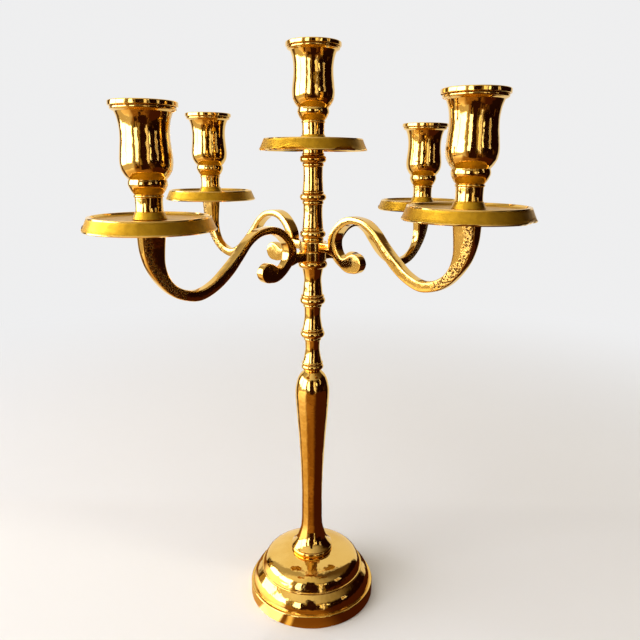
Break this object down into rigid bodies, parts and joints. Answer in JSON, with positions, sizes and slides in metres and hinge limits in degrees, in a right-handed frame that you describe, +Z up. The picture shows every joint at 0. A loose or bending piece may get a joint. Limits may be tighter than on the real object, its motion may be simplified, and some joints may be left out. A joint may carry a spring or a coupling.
{
  "type": "candelabrum",
  "caption": "Table candelabrum: round stepped base, turned column, crossed scroll arms that swivel, and screw-on candle cups over round drip pans.",
  "frame": {"origin": "centre of the base's underside, on the table plane", "axes": "+Z up along the column, -Y towards the front; the four arms point along the diagonals of X and Y"},
  "size_m": [0.2592, 0.2592, 0.4269],
  "materials": {
    "polished_brass": "mirror polished and lacquered, warm yellow gold",
    "satin_brass": "turned and satin brushed, olive gold, with polished edges",
    "steel": "zinc plated, dull",
    "felt": "dark green felt"
  },
  "bodies": {
    "column": {"base": "polished_brass", "base_pad": "felt", "base_washer": "steel", "base_nut": "steel", "tie_rod": "steel", "stem": "polished_brass", "lower_spindle": "polished_brass", "upper_spindle": "polished_brass"},
    "lower_arms": {"lower_arm_pair": "polished_brass"},
    "upper_arms": {"upper_arm_pair": "polished_brass"},
    "stud_centre": {"cup_stud_centre": "steel"},
    "pan_centre": {"drip_pan_centre": "satin_brass"},
    "cup_centre": {"candle_cup_centre": "polished_brass"},
    "stud_front_left": {"cup_stud_front_left": "steel"},
    "pan_front_left": {"drip_pan_front_left": "satin_brass"},
    "cup_front_left": {"candle_cup_front_left": "polished_brass"},
    "stud_back_right": {"cup_stud_back_right": "steel"},
    "pan_back_right": {"drip_pan_back_right": "satin_brass"},
    "cup_back_right": {"candle_cup_back_right": "polished_brass"},
    "stud_front_right": {"cup_stud_front_right": "steel"},
    "pan_front_right": {"drip_pan_front_right": "satin_brass"},
    "cup_front_right": {"candle_cup_front_right": "polished_brass"},
    "stud_back_left": {"cup_stud_back_left": "steel"},
    "pan_back_left": {"drip_pan_back_left": "satin_brass"},
    "cup_back_left": {"candle_cup_back_left": "polished_brass"}
  },
  "joints": [
    {"name": "arm_tier_swivel", "type": "hinge", "parent": "column", "child": "lower_arms", "pos_m": [0, 0, 0.2784], "axis": [0, 0, 1], "continuous": true},
    {"name": "arm_pair_spread", "type": "hinge", "parent": "lower_arms", "child": "upper_arms", "pos_m": [0, 0, 0.2856], "axis": [0, 0, 1], "range_deg": [-54, 54]},
    {"name": "cup_turn_centre", "type": "hinge", "parent": "column", "child": "stud_centre", "pos_m": [0, 0, 0.36], "axis": [0, 0, 1], "range_deg": [0, 3600]},
    {"name": "cup_rise_centre", "type": "slide", "parent": "stud_centre", "child": "cup_centre", "axis": [0, 0, 1], "range_m": [0, 0.008]},
    {"name": "pan_turn_centre", "type": "hinge", "parent": "column", "child": "pan_centre", "pos_m": [0, 0, 0.36], "axis": [0, 0, 1], "continuous": true},
    {"name": "cup_turn_front_left", "type": "hinge", "parent": "lower_arms", "child": "stud_front_left", "pos_m": [-0.09136, -0.09136, 0.3134], "axis": [0, 0, 1], "range_deg": [0, 3600]},
    {"name": "cup_rise_front_left", "type": "slide", "parent": "stud_front_left", "child": "cup_front_left", "axis": [0, 0, 1], "range_m": [0, 0.008]},
    {"name": "pan_turn_front_left", "type": "hinge", "parent": "lower_arms", "child": "pan_front_left", "pos_m": [-0.09136, -0.09136, 0.3134], "axis": [0, 0, 1], "continuous": true},
    {"name": "cup_turn_back_right", "type": "hinge", "parent": "lower_arms", "child": "stud_back_right", "pos_m": [0.09136, 0.09136, 0.3134], "axis": [0, 0, 1], "range_deg": [0, 3600]},
    {"name": "cup_rise_back_right", "type": "slide", "parent": "stud_back_right", "child": "cup_back_right", "axis": [0, 0, 1], "range_m": [0, 0.008]},
    {"name": "pan_turn_back_right", "type": "hinge", "parent": "lower_arms", "child": "pan_back_right", "pos_m": [0.09136, 0.09136, 0.3134], "axis": [0, 0, 1], "continuous": true},
    {"name": "cup_turn_front_right", "type": "hinge", "parent": "upper_arms", "child": "stud_front_right", "pos_m": [0.09136, -0.09136, 0.3206], "axis": [0, 0, 1], "range_deg": [0, 3600]},
    {"name": "cup_rise_front_right", "type": "slide", "parent": "stud_front_right", "child": "cup_front_right", "axis": [0, 0, 1], "range_m": [0, 0.008]},
    {"name": "pan_turn_front_right", "type": "hinge", "parent": "upper_arms", "child": "pan_front_right", "pos_m": [0.09136, -0.09136, 0.3206], "axis": [0, 0, 1], "continuous": true},
    {"name": "cup_turn_back_left", "type": "hinge", "parent": "upper_arms", "child": "stud_back_left", "pos_m": [-0.09136, 0.09136, 0.3206], "axis": [0, 0, 1], "range_deg": [0, 3600]},
    {"name": "cup_rise_back_left", "type": "slide", "parent": "stud_back_left", "child": "cup_back_left", "axis": [0, 0, 1], "range_m": [0, 0.008]},
    {"name": "pan_turn_back_left", "type": "hinge", "parent": "upper_arms", "child": "pan_back_left", "pos_m": [-0.09136, 0.09136, 0.3206], "axis": [0, 0, 1], "continuous": true}
  ],
  "couplings": [
    {"joint": "cup_turn_centre", "follows": "cup_rise_centre", "rad_per_m": 7854},
    {"joint": "cup_turn_front_left", "follows": "cup_rise_front_left", "rad_per_m": 7854},
    {"joint": "cup_turn_back_right", "follows": "cup_rise_back_right", "rad_per_m": 7854},
    {"joint": "cup_turn_front_right", "follows": "cup_rise_front_right", "rad_per_m": 7854},
    {"joint": "cup_turn_back_left", "follows": "cup_rise_back_left", "rad_per_m": 7854}
  ]
}
